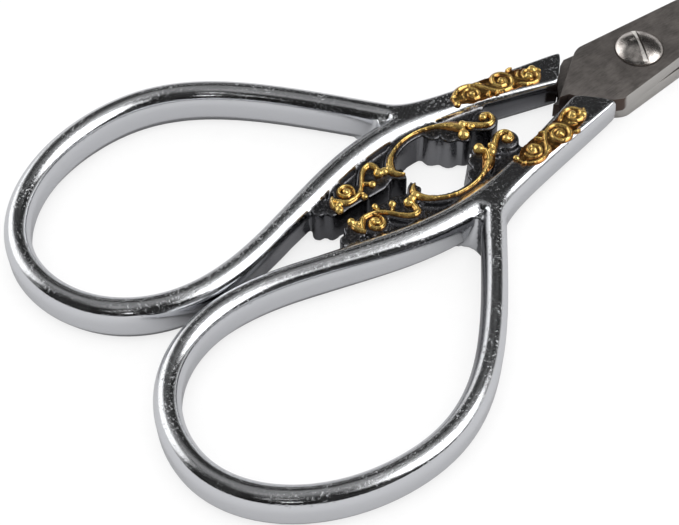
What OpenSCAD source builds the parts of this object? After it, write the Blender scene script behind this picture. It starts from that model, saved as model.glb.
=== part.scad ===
// Ornamental embroidery scissors, closed, lying flat.
// The handles' sizes are measured from a middle point close to the screw: x behind it, y out from the
// line of symmetry.

/* [Blades] */
// Distance from the screw to the blade tips
blade_reach = 54.6; // [45:0.2:65]
// Half the width of a blade at the screw
blade_half_w = 3.85; // [3.7:0.05:4]
// Half the width of a blade at its shoulder, where the slender part begins
shoulder_w = 2.85; // [2.7:0.05:3]
// Thickness of one blade at the screw
blade_t = 1.95; // [1.8:0.05:2]
// Thickness of one blade at its tip
tip_t = 0.9; // [0.6:0.05:1.2]
// Radius of the rounded tip in plan
tip_r = 0.45; // [0.3:0.05:0.8]
// Greatest depth of the hollow in a blade's inner face
blade_set = 0.36; // [0.2:0.02:0.4]
// Lean of the cutting bevel from upright, in degrees
bevel_lean = 15; // [5:1:25]

/* [Screw] */
// Radius of the domed screw head
head_r = 2.65; // [2.4:0.05:2.7]
// Rise of the dome above its rim
dome_rise = 0.9; // [0.7:0.05:1]
// Width of the driver slot
slot_w = 0.5; // [0.4:0.05:0.7]
// Direction of the slot, in degrees
slot_turn = 65; // [0:5:175]

/* [Bows] */
// Far end of the bow's centreline, behind the middle
bow_far = 69.9; // [67:0.1:73]
// Height of the far end above the line of symmetry
bow_far_y = 14.2; // [13:0.1:15]
// Widest place of the bow's centreline, behind the middle
bow_wide = 52.5; // [51:0.1:54]
// Greatest distance of that centreline from the line of symmetry
bow_wide_y = 27.6; // [26:0.1:29]
// Place where the two closed bows nearly touch, behind the middle
bow_touch = 56.3; // [55:0.1:58]
// Gap between the two closed bows there
bow_gap = 0.3; // [0.2:0.05:0.6]
// Width of the bow's section
bow_w = 2.8; // [2.4:0.1:3]
// Height of the bow's section
bow_h = 5.2; // [5:0.1:5.6]
// Width of the outer arm where it leaves the shank
arm_w = 2.75; // [2.5:0.05:2.8]

/* [Shank] */
// Fork where the outer arm leaves the shank, behind the middle
fork = 28.2; // [27.9:0.1:28.5]
// Height of the outer arm at the fork
fork_y = 9.3; // [9.1:0.1:9.5]
// Height of the inner arm's crest beside the fork
crest_y = 6.95; // [6.8:0.05:7.1]
// Fall of the shank's planed top, in degrees
plane_fall = 2.78; // [2.6:0.02:2.8]
// Width of each half of the shank at its socket
shank_w = 2.5; // [2.2:0.1:2.8]

/* [Web] */
// Height of the scroll walls of the openwork
wall_h = 4.2; // [3.8:0.1:4.4]
// Depth of the floor between the walls, below their tops
floor_drop = 0.64; // [0.55:0.01:0.75]
// Half thickness of a scroll wall
wall_r = 0.58; // [0.5:0.01:0.6]

/* [Gilt beads] */
// Width of the gilt bead on a scroll wall
bead_w = 0.75; // [0.65:0.05:0.85]
// Height of the gilt bead
bead_h = 0.5; // [0.4:0.05:0.6]

/* [Hidden] */

steel = "dimgray";
screw_steel = "rosybrown";
chrome = "gainsboro";
gilt = "goldenrod";

// The frame stands under the middle of the closed scissors, on the surface they lie on
screw_at = [0.4, -0.3];
length = blade_reach + screw_at[0] + bow_far + bow_w / 2;
middle_x = length / 2 - blade_reach - screw_at[0];

// The backs of the bows and of the lower blade lie level, so the blades part below the bows' middle
back_gap = 0.05;
part_z = blade_t + back_gap;
wall_foot = 0.25;
wall_top = wall_foot + wall_h;

// Running gaps
face_gap = 0.03;
bore_gap = 0.04;
seat_gap = 0.03;

// Screw hole and spot-face
shank_r = 1.25;
thread_r = 1.05;
spot_r = head_r + 0.15;
spot_floor = blade_t - 0.15;
rim_h = 0.35;
slot_depth = 0.65;

// Socket line, where the handle ends against the blade's heel
socket_in = [-9.92, 1.51];
socket_out = [-7.04, 4.42];
socket_mid = (socket_in + socket_out) / 2;
socket_turn = atan2(socket_out[1] - socket_in[1], socket_out[0] - socket_in[0]);

// Tang inside the shank
tang_t = 1.4;
tang_root = socket_mid + [0.4, -0.3];
tang_end = [-19, 4.75];
tang_root_r = 1.0;
tang_end_r = 0.6;

// Curves: each station holds a place and a heading

function mix(a, b, t) = a + (b - a) * t;
function heading(a) = [cos(a), sin(a)];
function unit(v) = v / norm(v);
function bezier(p, q, r, s, t) =
    p * pow(1 - t, 3) + 3 * q * t * pow(1 - t, 2) + 3 * r * t * t * (1 - t) + s * pow(t, 3);
function bezier_run(p, q, r, s, t) =
    (q - p) * pow(1 - t, 2) + 2 * (r - q) * t * (1 - t) + (s - r) * t * t;

// Stations along a curve that leaves p at angle pa and reaches s at angle sa, with pulls pl and sl
function curve(p, pa, pl, s, sa, sl, n) =
    let (q = p + pl * heading(pa), r = s - sl * heading(sa))
    [for (i = [0:n]) [bezier(p, q, r, s, i / n), unit(bezier_run(p, q, r, s, i / n))]];

// Stations along a spiral round c, from radius r0 at angle a0 to radius r1 at angle a1
function spiral(c, r0, r1, a0, a1, n) =
    [for (i = [0:n])
        let (r = mix(r0, r1, i / n), a = mix(a0, a1, i / n), turn = (a1 - a0) * PI / 180)
        [c + r * heading(a), unit(r * turn * heading(a + 90) + (r1 - r0) * heading(a))]];

// Curves in a row as one path, with shared ends kept once
function joined(curves) =
    [for (k = [0:len(curves) - 1]) for (i = [(k == 0 ? 0 : 1):len(curves[k]) - 1]) curves[k][i]];
function places(path) = [for (s = path) s[0]];

// The place beside a station, to the left of its heading
function beside(s, d) = s[0] + d * [-s[1][1], s[1][0]];

// One value per station, in steady steps between the values of stops
function graded(stops, n) =
    [for (i = [0:n - 1])
        let (s = i / (n - 1) * (len(stops) - 1), k = min(floor(s), len(stops) - 2))
        mix(stops[k], stops[k + 1], s - k)];

// Upright section of unit width and height: a flat sole, a leaning underside, upright walls and a round top
sole = 0.36;
wall_start = 0.29;
wall_end = 0.655;
crown_sides = 8;
bar_section = concat(
    [for (i = [0:crown_sides]) let (a = 180 * i / crown_sides)
        [cos(a) / 2, wall_end + (1 - wall_end) * sin(a)]],
    [[-0.5, wall_start], [-sole / 2, 0], [sole / 2, 0], [0.5, wall_start]]);

// Half-round section of unit width and height, with a flat underside
bead_section = [[0.5, 0], [0.42, 0.55], [0.2, 0.95], [-0.2, 0.95], [-0.42, 0.55], [-0.5, 0]];

// A solid of one section along a level path, with its own width and height at each station
module sweep(path, section, widths, heights) {
    m = len(section);
    n = len(path);
    corners = [for (i = [0:n - 1]) for (c = section)
        let (p = beside(path[i], c[0] * widths[i]))
        [p[0], p[1], c[1] * heights[i]]];
    sides = [for (i = [0:n - 2]) for (j = [0:m - 1])
        let (a = i * m + j, b = i * m + (j + 1) % m)
        each [[a, b + m, b], [a, a + m, b + m]]];
    ends = [[for (j = [0:m - 1]) j], [for (j = [m - 1:-1:0]) (n - 1) * m + j]];
    polyhedron(corners, concat(sides, ends));
}

// A gilt bead whose width follows stops along the path, and whose height follows its width
module bead(path, stops) {
    widths = graded(stops, len(path));
    sweep(path, bead_section, widths, [for (w = widths) bead_h * (0.4 + 0.6 * w / bead_w)]);
}

// A ribbon of even width along a level path, in plan
module ribbon(path, r) {
    polygon(concat([for (s = path) beside(s, r)],
        [for (i = [len(path) - 1:-1:0]) beside(path[i], -r)]));
}
module disc(p, r) {
    translate(p) circle(r, $fn = 18);
}

// Bow and arms

bow_touch_y = (bow_gap + bow_w) / 2;
wide_p = [-bow_wide, bow_wide_y];
far_p = [-bow_far, bow_far_y];
touch_p = [-bow_touch, bow_touch_y];
fork_p = [-fork, fork_y];
crest_p = [-29.2, crest_y];
outer_root = [-6.3, 3.5];
inner_root = [-7.3, 1.55];
root_h = 4.75;
fork_angle = 129;
steps = 11;

outer_arm = joined([
    curve(outer_root, 168.5, 13, fork_p, fork_angle, 3.5, steps),
    curve(fork_p, fork_angle, 14, wide_p, 180, 10, steps),
    curve(wide_p, 180, 9.5, far_p, 270, 7.5, steps)]);
inner_arm = joined([
    curve(far_p, 270, 6.9, touch_p, 360, 8.2, steps),
    curve(touch_p, 0, 9, crest_p, -2, 10, steps),
    curve(crest_p, -2, 5, inner_root, -15, 9, steps)]);

module bow() {
    sweep(outer_arm, bar_section, graded([shank_w, arm_w, bow_w, bow_w], len(outer_arm)),
        graded([root_h, bow_h, bow_h, bow_h], len(outer_arm)));
    sweep(inner_arm, bar_section, graded([bow_w, bow_w, bow_w, shank_w], len(inner_arm)),
        graded([bow_h, bow_h, bow_h, root_h], len(inner_arm)));
}

// Body of the shank between the two arms, from the palm at the fork to the socket
shank_line = places(curve([-28.2, 8.1], -32, 3.5, [-6, 2.4], -14, 8, 8));
shank_foot = 0.334;
shank_radii = graded([0.9, 0.9, 1.1, 1.4], len(shank_line));
module shank() {
    for (i = [0:len(shank_line) - 2])
        hull()
            for (k = [i, i + 1])
                translate([shank_line[k][0], shank_line[k][1], shank_foot])
                    cylinder(bow_h - 0.1 - shank_foot, shank_radii[k], shank_radii[k], $fn = 20);
}

// Fillet in the crotch between the two arms, which leans back as it rises
crotch_root = [-28.75, 8.38];
crotch_edge = places(curve([-31.8, 7.8], 10, 1.4, [-31, 11.2], 125, 1.6, 5));
crotch_lean = 0.44;
module crotch() {
    translate([crotch_root[0], crotch_root[1], wall_foot]) linear_extrude(wall_h, scale = crotch_lean)
        polygon(concat([[0, 0]], [for (p = crotch_edge) p - crotch_root]));
}

// Planed top of the shank, which meets the crown of the bow at plane_from
plane_from = -29.5;
plane_start = -28.9;
module on_plane() {
    translate([plane_from, 0, bow_h]) rotate([0, plane_fall, 0]) translate([-plane_from, 0, 0]) children();
}

// Openwork scrolls beside the shank, in plan

heart_line = joined([
    curve([-31.9, 0.85], 170, 0.5, [-32.85, 2.1], 78, 0.6, 5),
    curve([-32.85, 2.1], 78, 1.3, [-28.2, 4.75], 0, 2.4, 7),
    curve([-28.2, 4.75], 0, 2.6, [-23.15, 1.7], 262, 1.5, 8)]);
heart_ball = [-23.6, 1.25];
heart_bead = joined([heart_line, curve([-23.15, 1.7], 262, 0.25, [-23.55, 1.25], 200, 0.25, 2)]);

tail_run = joined([
    curve([-33.85, 2.6], 105, 0.6, [-34.45, 4.15], 180, 0.7, 4),
    curve([-34.45, 4.15], 180, 0.9, [-36.75, 2.15], 226, 1, 4),
    curve([-36.75, 2.15], 226, 0.9, [-38.9, 1.3], 180, 0.9, 4),
    curve([-38.9, 1.3], 180, 0.6, [-40.25, 2.7], 115, 0.7, 4)]);
tail_eye = [-38.5, 2.6];
tail_eye_r = 0.8;
tail_end = curve([-40.2, 2.4], 255, 0.4, [-40.6, 1.25], 285, 0.4, 3);

tip_run = curve([-22.6, 2.7], -50, 0.9, [-20.25, 0.85], 0, 0.9, 5);
tip_eye = [-20.25, 1.75];
tip_eye_r = 0.9;
tip_line = joined([tip_run, spiral(tip_eye, tip_eye_r, 0.4, 270, 520, 8)]);

// Recessed floor that ties the scrolls to the inner arm
floor_edge = places(joined([
    curve([-42.3, 3.4], -75, 1.4, [-40.4, 0.7], 0, 1, 4),
    curve([-34.6, 0.65], 0, 0.8, [-32.7, 2.6], 80, 0.8, 3),
    curve([-32.4, 3.4], 40, 1.4, [-28, 5.1], 0, 1.6, 3),
    curve([-26.5, 4.2], -62, 1, [-24.3, 1.3], -40, 0.8, 3),
    curve([-21.4, 1.6], 0, 0.8, [-18.4, 4.6], 80, 1, 3),
    curve([-24, 6.4], 160, 3, [-42.3, 4.2], 195, 3, 4)]));

// Lobes of the casting's inner edge, each given by its place and radius
lobes = [[[-41.39, 2.67], 0.62], [[-41.04, 1.63], 0.78], [[-35.53, 1.77], 0.5], [[-34.71, 3.04], 0.5],
    [[-37.28, 0.98], 0.45]];

// Leaning flutes of the heart's wall
flutes = [[-25.99, 3.66], [-24.76, 2.29]];
flute_foot_r = 1.21;
flute_top_r = 0.55;

// Inner corners of the tightest bends, which are filled
bends = [[-34.4, 3.6], [-32.1, 1.5]];
bend_r = 0.4;

module web() {
    translate([0, 0, wall_foot]) linear_extrude(wall_h) {
        for (p = bends)
            disc(p, bend_r);
        ribbon(heart_line, wall_r);
        disc(heart_ball, wall_r + 0.2);
        ribbon(tail_run, wall_r);
        disc(tail_eye, tail_eye_r + wall_r);
        ribbon(tail_end, wall_r);
        ribbon(tip_run, wall_r);
        disc(tip_eye, tip_eye_r + wall_r);
        for (lobe = lobes)
            disc(lobe[0], lobe[1]);
    }
    for (p = flutes)
        translate([p[0], p[1], wall_foot]) cylinder(wall_h, flute_foot_r, flute_top_r, $fn = 20);
    translate([0, 0, wall_foot + floor_drop]) linear_extrude(wall_h - 2 * floor_drop) polygon(floor_edge);
}

// Tang that the handle is cast round, in plan
module tang(gap = 0) {
    hull() {
        translate(tang_root) circle(tang_root_r + gap, $fn = 24);
        translate(tang_end) circle(tang_end_r + gap, $fn = 24);
    }
}

// One half's casting, above the line of symmetry, with its tang slot from slot_z up
module casting(slot_z) {
    big = 20;
    color(chrome) difference() {
        union() {
            bow();
            shank();
            crotch();
            web();
        }
        translate(socket_mid) rotate(socket_turn - 90) translate([0, -big / 2, -big / 2]) cube(big);
        translate([0, 0, slot_z - seat_gap]) linear_extrude(tang_t + 2 * seat_gap) tang(seat_gap);
        on_plane() translate([plane_start, -big / 2, 0]) cube([2 * big, 2 * big, big]);
    }
}

module left_handle() {
    placed() casting(part_z - face_gap - tang_t);
}
module right_handle() {
    placed() mirror([0, 1, 0]) casting(part_z + face_gap);
}

// Blades

shoulder_x = 12;
taper_turn = atan2(blade_half_w - shoulder_w, shoulder_x);
slim_turn = atan2(shoulder_w - tip_r, blade_reach - tip_r - shoulder_x);
thin_from = 8;
thin_turn = atan2(blade_t - tip_t, blade_reach - thin_from);
set_from = -2;
set_stop = 2;
set_steps = 20;
// The hollow inner face, seen from the side
set_edge = [for (i = [0:set_steps]) let (t = i / set_steps)
    [mix(set_from, blade_reach - set_stop, t), face_gap + blade_set * (1 - pow(2 * t - 1, 6))]];
heel_r = 2.6;
heel_c = [-4.8, blade_half_w - heel_r + 0.44];
heel_arc = [for (i = [0:8]) heel_c + heel_r * heading(mix(90 + taper_turn, 128, i / 8))];
tip_arc = [for (i = [0:8])
    [blade_reach - tip_r, 0] + tip_r * heading(mix(-90 - slim_turn, 90 - slim_turn, i / 8))];

// Outline of the upper blade, with its back at positive y ahead of the screw
blade_edge = concat([[shoulder_x, -shoulder_w]], tip_arc, [[shoulder_x, shoulder_w]], heel_arc);
heel_front = [-6, -4.9];
heel_edge = [[-11.4, -0.45], [-10.3, -0.7], [socket_in[0] + 0.1, -socket_in[1]],
    [socket_out[0] + 0.1, -socket_out[1]], heel_front];

// The upper blade without its screw hole, from the inner face up, with its heel and tang moved by shift
module blade_blank(shift) {
    big = 100;
    difference() {
        union() {
            translate([0, 0, face_gap]) linear_extrude(blade_t - face_gap)
                polygon(concat(blade_edge, [for (p = heel_edge) p + shift]));
            translate([shift[0], shift[1], face_gap]) linear_extrude(tang_t) mirror([0, 1]) tang();
        }
        translate([thin_from, 0, blade_t]) rotate([0, thin_turn, 0])
            translate([0, -big / 2, 0]) cube([big, big, big]);
        translate([shoulder_x, -shoulder_w, 0]) rotate(slim_turn) rotate([-bevel_lean, 0, 0])
            translate([0, -big, -big / 2]) cube([big, big, big]);
        rotate([90, 0, 0]) linear_extrude(big, center = true) polygon(set_edge);
    }
}

module upper_blade() {
    on_screw() color(steel) difference() {
        blade_blank([-screw_at[0], -screw_at[1]]);
        translate([0, 0, -1]) cylinder(4, shank_r + bore_gap, shank_r + bore_gap, $fn = 64);
        translate([0, 0, spot_floor]) cylinder(4, spot_r, spot_r, $fn = 64);
    }
}

module lower_blade() {
    on_screw() color(steel) difference() {
        rotate([180, 0, 0]) blade_blank([-screw_at[0], screw_at[1]]);
        translate([0, 0, -3]) cylinder(4, thread_r, thread_r, $fn = 64);
    }
}

// Slotted screw with a domed head, threaded into the lower blade
module pivot_screw() {
    ball_r = (head_r * head_r + dome_rise * dome_rise) / (2 * dome_rise);
    seat = spot_floor + face_gap;
    top = seat + rim_h + dome_rise;
    on_screw() color(screw_steel) difference() {
        union() {
            intersection() {
                translate([0, 0, seat]) cylinder(rim_h + dome_rise, head_r, head_r, $fn = 64);
                translate([0, 0, top - ball_r]) sphere(ball_r, $fn = 96);
            }
            cylinder(seat + rim_h, shank_r, shank_r, $fn = 64);
            translate([0, 0, -blade_t]) cylinder(blade_t, thread_r, thread_r, $fn = 64);
        }
        rotate(slot_turn) translate([-head_r - 1, -slot_w / 2, top - slot_depth])
            cube([2 * head_r + 2, slot_w, 2]);
    }
}

// Gilt relief on the tops of the scroll walls

module heart_scroll() {
    color(gilt) translate([0, 0, wall_top])
        bead(heart_bead, [0.4, 1.1, 1, 0.85, 0.75, 0.7, 0.65, 0.65, 0.65, 0.75, 1.1]);
}
module tail_scroll() {
    color(gilt) translate([0, 0, wall_top]) {
        bead(tail_run, [0.6, 0.8, 0.75, 0.7, 0.65, 0.6, 0.75, 0.9, 0.5]);
        bead(spiral(tail_eye + [0, 0.12], 0.75, 0.32, 330, 730, 10), [0.3, 0.5, 0.5, 0.45]);
    }
}
module tip_curl() {
    color(gilt) translate([0, 0, wall_top])
        bead(tip_line, [0.35, 0.6, 0.7, 0.65, 0.6, 0.5]);
}

// Running scroll on the shank: a stem that ends in the middle volute, with a volute on each side of it
stem_line = joined([
    curve([-21.6, 5], 95, 0.9, [-19.7, 6.5], 0, 0.9, 4),
    curve([-19.7, 6.5], 0, 1.2, [-17.5, 5.1], -62, 0.8, 4),
    curve([-17.5, 5.1], -62, 0.9, [-15.59, 3.56], -8, 0.9, 4),
    spiral([-15.4, 4.9], 1.35, 0.35, 262, 800, 20)]);
end_line = joined([
    curve([-14, 3.2], -10, 0.4, [-12.95, 2.91], 0, 0.4, 2),
    spiral([-12.3, 3.75], 1.06, 0.3, 232, 740, 18)]);
module shank_scroll() {
    color(gilt) on_plane() {
        bead(stem_line, [0.3, 0.65, 0.6, 0.6, 0.65, 0.7, 0.65, 0.55, 0.5, 0.45]);
        bead(spiral([-19.25, 5.1], 0.8, 0.28, 190, -250, 14), [0.35, 0.5, 0.5, 0.45]);
        bead(end_line, [0.3, 0.6, 0.55, 0.5, 0.45]);
    }
}

module left_heart_scroll() { placed() heart_scroll(); }
module right_heart_scroll() { placed() mirror([0, 1, 0]) heart_scroll(); }
module left_tail_scroll() { placed() tail_scroll(); }
module right_tail_scroll() { placed() mirror([0, 1, 0]) tail_scroll(); }
module left_tip_curl() { placed() tip_curl(); }
module right_tip_curl() { placed() mirror([0, 1, 0]) tip_curl(); }
module left_shank_scroll() { placed() shank_scroll(); }
module right_shank_scroll() { placed() mirror([0, 1, 0]) shank_scroll(); }

// From the handles' middle point, and from the screw, to the frame under the scissors
module placed() {
    translate([middle_x, 0, 0]) children();
}
module on_screw() {
    translate([middle_x + screw_at[0], screw_at[1], part_z]) children();
}

upper_blade();
lower_blade();
pivot_screw();
right_handle();
left_handle();
right_shank_scroll();
left_shank_scroll();
right_heart_scroll();
left_heart_scroll();
right_tail_scroll();
left_tail_scroll();
right_tip_curl();
left_tip_curl();
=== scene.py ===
"""Looks of a closed pair of ornamental embroidery scissors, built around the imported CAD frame."""

import math
from bisect import bisect

import bmesh
import bpy
from bpy.props import FloatProperty, FloatVectorProperty, IntProperty, PointerProperty
from mathutils import Matrix, Vector
from mathutils.geometry import interpolate_bezier


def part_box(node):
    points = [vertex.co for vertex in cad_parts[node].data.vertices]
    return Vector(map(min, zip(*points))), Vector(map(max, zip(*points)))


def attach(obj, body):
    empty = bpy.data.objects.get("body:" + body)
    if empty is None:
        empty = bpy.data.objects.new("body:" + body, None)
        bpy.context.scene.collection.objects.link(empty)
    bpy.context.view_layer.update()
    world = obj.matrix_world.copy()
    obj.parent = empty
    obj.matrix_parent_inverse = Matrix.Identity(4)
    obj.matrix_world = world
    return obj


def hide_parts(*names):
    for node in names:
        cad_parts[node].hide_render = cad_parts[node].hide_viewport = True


bl_info = {
    "name": "Embroidery scissors",
    "version": (1, 0, 0),
    "blender": (4, 5, 0),
    "location": "View3D > Sidebar > Scissors",
    "description": "Builds the handles, gilt scrolls, blades, screw and stage of embroidery scissors",
    "category": "Object",
}

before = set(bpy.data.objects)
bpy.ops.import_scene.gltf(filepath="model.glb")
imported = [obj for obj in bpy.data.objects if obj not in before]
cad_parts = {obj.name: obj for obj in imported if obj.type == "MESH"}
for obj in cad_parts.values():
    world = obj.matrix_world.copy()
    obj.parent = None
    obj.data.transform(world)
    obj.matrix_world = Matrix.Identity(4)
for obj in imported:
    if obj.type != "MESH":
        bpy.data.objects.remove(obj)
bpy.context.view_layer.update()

MM = 0.001
PIVOT = Vector((8.15, 0.0, 0.0))
TO_ROW = Matrix.Scale(MM, 4) @ Matrix.Translation(PIVOT)
SIDES = {"left": ("lower_half", 1), "right": ("upper_half", -1)}


def length(name, description, value):
    return FloatProperty(name=name, description=description, default=value, unit="LENGTH")


class ScissorSizes(bpy.types.PropertyGroup):
    """Sizes of the pieces."""

    bow_width: length("Bow width", "Width of the bow's section", 0.0028)
    bow_height: length("Bow height", "Height of the bow's section", 0.0052)
    wall: length("Wall", "Half thickness of a scroll wall", 0.00058)
    wall_top: length("Wall top", "Height of the scroll walls' tops", 0.00445)
    grain: length("Casting grain", "Mesh size of the castings", 0.00017)
    gilt_grain: length("Gilt grain", "Mesh size of the gilt relief", 0.00006)
    soften: IntProperty(name="Soften", description="Rounds of smoothing on the castings", default=6)
    blade_edge: length("Blade edge", "Width of the broken edges of the blades", 0.00014)
    slot_width: length("Slot width", "Width of the screw's slot", 0.0005)


def colour(name, description, value):
    return FloatVectorProperty(
        name=name, description=description, default=value, size=3, min=0, max=1, subtype="COLOR"
    )


class ScissorColours(bpy.types.PropertyGroup):
    """Colours of the finishes."""

    chrome: colour("Chrome", "Plated casting", (0.80, 0.81, 0.83))
    # Painted shade: the colour the plating is darkened to in the openwork, in the gaps between the bows and
    # on undersides
    recess_shade: colour("Recess", "Darkened plating between the scrolls", (0.13, 0.13, 0.14))
    # Painted light on the gilding: its ridges take the gilt colour and its hollows take gilt_shade, a
    # painted shade
    gilt: colour("Gilt", "Gilding on the ridges", (1.0, 0.70, 0.23))
    gilt_shade: colour("Gilt shade", "Gilding in the hollows", (0.34, 0.15, 0.04))
    steel: colour("Steel", "Dark blade face", (0.15, 0.136, 0.127))
    ground: colour("Ground steel", "Bright ground edges and sides", (0.66, 0.64, 0.61))
    screw: colour("Screw", "Tarnished screw", (0.78, 0.73, 0.69))
    # Real brown tarnish on the screw, and painted brown shade on the blades' sides beside the sockets and
    # at the heel
    tarnish_and_shade: colour("Stain", "Brown tarnish in corners", (0.12, 0.088, 0.075))
    floor: colour("Floor", "Pale surface under the scissors", (1.0, 1.0, 1.0))
    floor_mirrored: colour("Mirrored floor", "The floor as the plating shows it", (0.54, 0.54, 0.55))


class Wire:
    """A shader socket that takes part in sums like a number."""

    def __init__(self, tree, socket):
        self.tree = tree
        self.socket = socket

    def sum_node(self, operation, first, second):
        node = self.tree.nodes.new("ShaderNodeMath")
        node.operation = operation
        plug(self.tree, first, node.inputs[0])
        plug(self.tree, second, node.inputs[1])
        return Wire(self.tree, node.outputs[0])

    def __add__(self, other):
        return self.sum_node("ADD", self, other)

    def __radd__(self, other):
        return self.sum_node("ADD", other, self)

    def __sub__(self, other):
        return self.sum_node("SUBTRACT", self, other)

    def __rsub__(self, other):
        return self.sum_node("SUBTRACT", other, self)

    def __mul__(self, other):
        return self.sum_node("MULTIPLY", self, other)

    def at_least(self, other):
        return self.sum_node("MAXIMUM", self, other)

def plug(tree, value, socket):
    """Links a wire to a socket, or sets the socket to a plain value."""
    if isinstance(value, Wire):
        tree.links.new(value.socket, socket)
    elif socket.type == "RGBA" and len(value) == 3:
        socket.default_value = (*value, 1.0)
    else:
        socket.default_value = value


class Finish:
    """A shader tree that is being wired up."""

    def __init__(self, tree):
        self.tree = tree
        tree.nodes.clear()

    def node(self, kind, output=0, **values):
        """Makes a node, sets its options and inputs by name, and gives back one output."""
        made = self.tree.nodes.new("ShaderNode" + kind)
        late = {}
        for name, value in values.items():
            if hasattr(made, name):
                setattr(made, name, value)
            else:
                late[name] = value
        for name, value in late.items():
            label = name.removesuffix("_2").replace("_", " ")
            alike = [s for s in made.inputs if s.enabled and s.name == label]
            plug(self.tree, value, alike[1 if name.endswith("_2") else 0])
        if made.outputs:
            return Wire(self.tree, made.outputs[output])

    def ramp(self, value, low, high, start=0.0, end=1.0):
        """Maps low to high smoothly onto start to end."""
        return self.node(
            "MapRange",
            interpolation_type="SMOOTHSTEP",
            Value=value,
            From_Min=low,
            From_Max=high,
            To_Min=start,
            To_Max=end,
        )

    def blend(self, factor, first, second):
        """Mixes two colours."""
        made = self.tree.nodes.new("ShaderNodeMix")
        made.data_type = "RGBA"
        plug(self.tree, factor, made.inputs[0])
        plug(self.tree, first, made.inputs[6])
        plug(self.tree, second, made.inputs[7])
        return Wire(self.tree, made.outputs[2])

    def place(self, stretch=(1.0, 1.0, 1.0)):
        """Object coordinates in millimetres, stretched."""
        spot = self.node("TexCoord", output="Object")
        scale = tuple(s / MM for s in stretch)
        return self.node("Mapping", Vector=spot, Scale=scale)

    def noise(self, spot, scale, detail=3.0, roughness=0.55):
        return self.node("TexNoise", Vector=spot, Scale=scale, Detail=detail, Roughness=roughness)

    def shaded(self, shade, tone):
        """A colour made lighter or darker by a wire."""
        return self.node("CombineColor", Red=shade * tone[0], Green=shade * tone[1], Blue=shade * tone[2])

    def out(self, surface):
        self.node("OutputMaterial", Surface=surface)

    def surface(self, **values):
        self.out(self.node("BsdfPrincipled", **values))


def material(name):
    """A new material and the tree to wire."""
    made = bpy.data.materials.new(name)
    made.use_nodes = True
    return made, Finish(made.node_tree)


def settings():
    """The sizes and the colours."""
    scene = bpy.context.scene
    return scene.scissor_sizes, scene.scissor_colours


def upward(f):
    """The upward part of the surface's facing."""
    return f.node("SeparateXYZ", output="Z", Vector=f.node("NewGeometry", output="Normal"))


def chrome_finish():
    """Bright plating: smooth walls, pitted tops, painted shade where the recess_shade attribute says so,
    and painted shade on its undersides.
    """
    made, f = material("plated casting")
    tones = settings()[1]
    spot = f.place()
    # Painted shade in the openwork and in the gaps between the bows
    recess_shade = f.node("Attribute", output="Fac", attribute_name="recess_shade")
    top = f.ramp(upward(f), 0.55, 0.95)
    waves = f.noise(spot, 0.3, 2.0)
    grain = f.noise(spot, 7.0, 4.0, 0.7)
    patch = f.ramp(f.noise(spot, 0.22, 3.0), 0.38, 0.62, 0.15, 1.0)
    pits = f.ramp(f.noise(spot, 3.6, 3.0, 0.6), 0.56, 0.68) * patch
    # Painted shade on surfaces that face down, darkest on the undersides
    underside_shade = f.ramp(upward(f), -0.4, -0.1, 0.6, 0.0)
    tint = f.blend(recess_shade.at_least(underside_shade), tuple(tones.chrome), tuple(tones.recess_shade))
    height = waves * 0.8 + grain * (0.05 + top * 0.2) - pits * (0.15 + top * 0.35 + top * recess_shade * 0.9)
    normal = f.node("Bump", Height=height, Strength=0.5, Distance=0.0001)
    rough = 0.06 + top * 0.09 + grain * 0.06 + pits * 0.1 + recess_shade * 0.1
    f.surface(Base_Color=tint, Metallic=1.0, Roughness=rough, Normal=normal)
    return made


def gilt_finish():
    """Smooth gilding with painted light: the gilt colour on its ridges and a painted brown shade in its
    hollows, as the rise attribute says, broken up by wear.
    """
    made, f = material("gilding")
    tones = settings()[1]
    spot = f.place()
    rise = f.node("Attribute", output="Fac", attribute_name="rise")
    wear = f.ramp(f.noise(spot, 0.9, 3.0), 0.42, 0.7)
    ripple = f.noise(spot, 1.7, 1.0)
    # Painted highlight on the ridges and painted shade in the hollows, by height, with some wear
    ridge = f.ramp(rise - wear * 0.25, 0.1, 0.85)
    tint = f.blend(ridge, tuple(tones.gilt_shade), tuple(tones.gilt))
    normal = f.node("Bump", Height=ripple, Strength=0.35, Distance=0.0004)
    rough = 0.12 + wear * 0.1
    f.surface(Base_Color=tint, Metallic=0.95 - ridge * 0.12, Roughness=rough, Normal=normal)
    return made


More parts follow.
